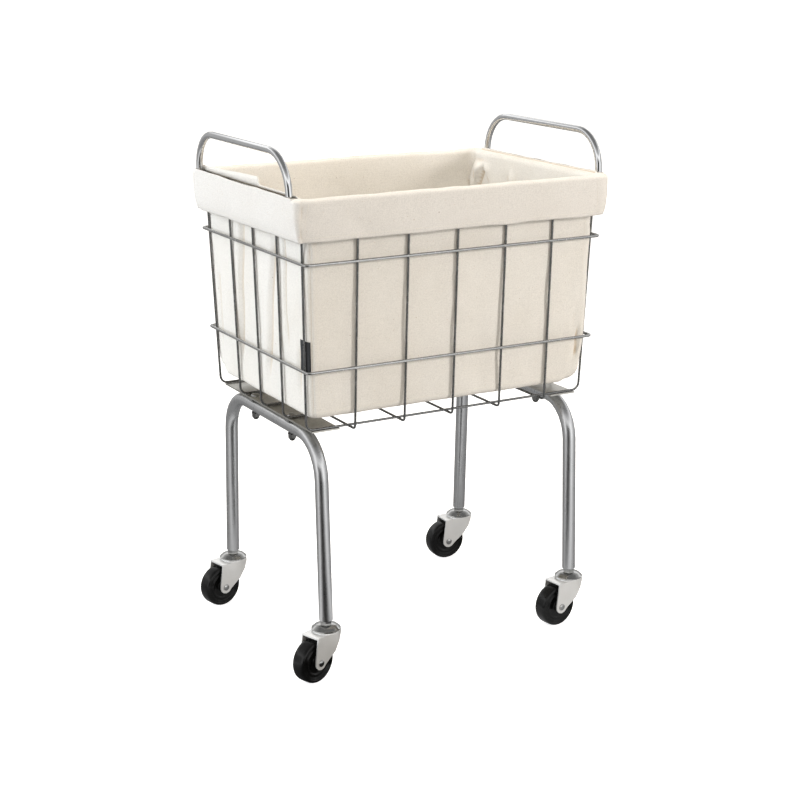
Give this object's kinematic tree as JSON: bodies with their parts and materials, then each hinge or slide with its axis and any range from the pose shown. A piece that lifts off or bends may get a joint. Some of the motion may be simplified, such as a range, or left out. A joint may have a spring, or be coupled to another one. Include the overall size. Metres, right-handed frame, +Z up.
{
  "type": "linen trolley",
  "caption": "Open wire basket on bent tube legs with swivel casters, a hoop handle at each short end and a fold-over canvas bag, for wheeling laundry and linen about.",
  "frame": {"origin": "on the floor, under the middle of the whole trolley's bounding box", "axes": "+X along the basket towards the right-hand handle, +Y towards the back long side, +Z up"},
  "size_m": [0.6729, 0.4816, 0.9612],
  "materials": {
    "plated_wire": "zinc plated wire, satin bright",
    "chrome": "polished plated rod",
    "plated_sheet": "zinc plated sheet, satin",
    "leg_tube": "plated tube, satin",
    "zinc": "bright zinc plate",
    "bright_zinc": "bright zinc plated pressing",
    "black_plastic": "moulded",
    "black_wheel": "hard black moulding, polished",
    "canvas": "natural cotton canvas, plain weave with seed flecks",
    "tag": "woven tape, plain"
  },
  "bodies": {
    "trolley": {"top_rim": "plated_wire", "upper_ring": "plated_wire", "lower_ring": "plated_wire", "long_wire_1": "plated_wire", "long_wire_2": "plated_wire", "long_wire_3": "plated_wire", "long_wire_4": "plated_wire", "long_wire_5": "plated_wire", "cross_wire_1": "plated_wire", "cross_wire_2": "plated_wire", "cross_wire_3": "plated_wire", "cross_wire_4": "plated_wire", "cross_wire_5": "plated_wire", "handle_left": "chrome", "handle_right": "chrome", "mounting_plate_left": "plated_sheet", "leg_frame_left": "leg_tube", "mounting_plate_right": "plated_sheet", "leg_frame_right": "leg_tube", "leg_bolt_1": "zinc", "saddle_spacer_1": "zinc", "washer_1": "zinc", "acorn_nut_1": "zinc", "leg_bolt_2": "zinc", "saddle_spacer_2": "zinc", "washer_2": "zinc", "acorn_nut_2": "zinc", "leg_bolt_3": "zinc", "saddle_spacer_3": "zinc", "washer_3": "zinc", "acorn_nut_3": "zinc", "leg_bolt_4": "zinc", "saddle_spacer_4": "zinc", "washer_4": "zinc", "acorn_nut_4": "zinc", "socket_front_left": "black_plastic", "swivel_head_front_left": "zinc", "socket_back_left": "black_plastic", "swivel_head_back_left": "zinc", "socket_front_right": "black_plastic", "swivel_head_front_right": "zinc", "socket_back_right": "black_plastic", "swivel_head_back_right": "zinc"},
    "liner": {"canvas_liner": "canvas", "woven_tag": "tag"},
    "caster_front_left": {"fork_front_left": "bright_zinc", "axle_front_left": "zinc"},
    "roller_front_left": {"wheel_front_left": "black_wheel"},
    "caster_back_left": {"fork_back_left": "bright_zinc", "axle_back_left": "zinc"},
    "roller_back_left": {"wheel_back_left": "black_wheel"},
    "caster_front_right": {"fork_front_right": "bright_zinc", "axle_front_right": "zinc"},
    "roller_front_right": {"wheel_front_right": "black_wheel"},
    "caster_back_right": {"fork_back_right": "bright_zinc", "axle_back_right": "zinc"},
    "roller_back_right": {"wheel_back_right": "black_wheel"}
  },
  "joints": [
    {"name": "swivel_front_left", "type": "hinge", "parent": "trolley", "child": "caster_front_left", "pos_m": [-0.2612, -0.2039, 0.0892], "axis": [0, 0, 1], "continuous": true},
    {"name": "roll_front_left", "type": "hinge", "parent": "caster_front_left", "child": "roller_front_left", "pos_m": [-0.29429, -0.21529, 0.0405], "axis": [-0.3256, 0.9455, 0], "continuous": true},
    {"name": "swivel_back_left", "type": "hinge", "parent": "trolley", "child": "caster_back_left", "pos_m": [-0.2612, 0.2141, 0.0892], "axis": [0, 0, 1], "continuous": true},
    {"name": "roll_back_left", "type": "hinge", "parent": "caster_back_left", "child": "roller_back_left", "pos_m": [-0.2953, 0.20623, 0.0405], "axis": [-0.225, 0.9744, 0], "continuous": true},
    {"name": "swivel_front_right", "type": "hinge", "parent": "trolley", "child": "caster_front_right", "pos_m": [0.2732, -0.2039, 0.0892], "axis": [0, 0, 1], "continuous": true},
    {"name": "roll_front_right", "type": "hinge", "parent": "caster_front_right", "child": "roller_front_right", "pos_m": [0.23854, -0.20877, 0.0405], "axis": [-0.1392, 0.9903, 0], "continuous": true},
    {"name": "swivel_back_right", "type": "hinge", "parent": "trolley", "child": "caster_back_right", "pos_m": [0.2732, 0.2141, 0.0892], "axis": [0, 0, 1], "continuous": true},
    {"name": "roll_back_right", "type": "hinge", "parent": "caster_back_right", "child": "roller_back_right", "pos_m": [0.23825, 0.21593, 0.0405], "axis": [0.0523, 0.9986, 0], "continuous": true},
    {"name": "liner_lift", "type": "slide", "parent": "trolley", "child": "liner", "axis": [0, 0, 1], "range_m": [0, 0.42]}
  ]
}
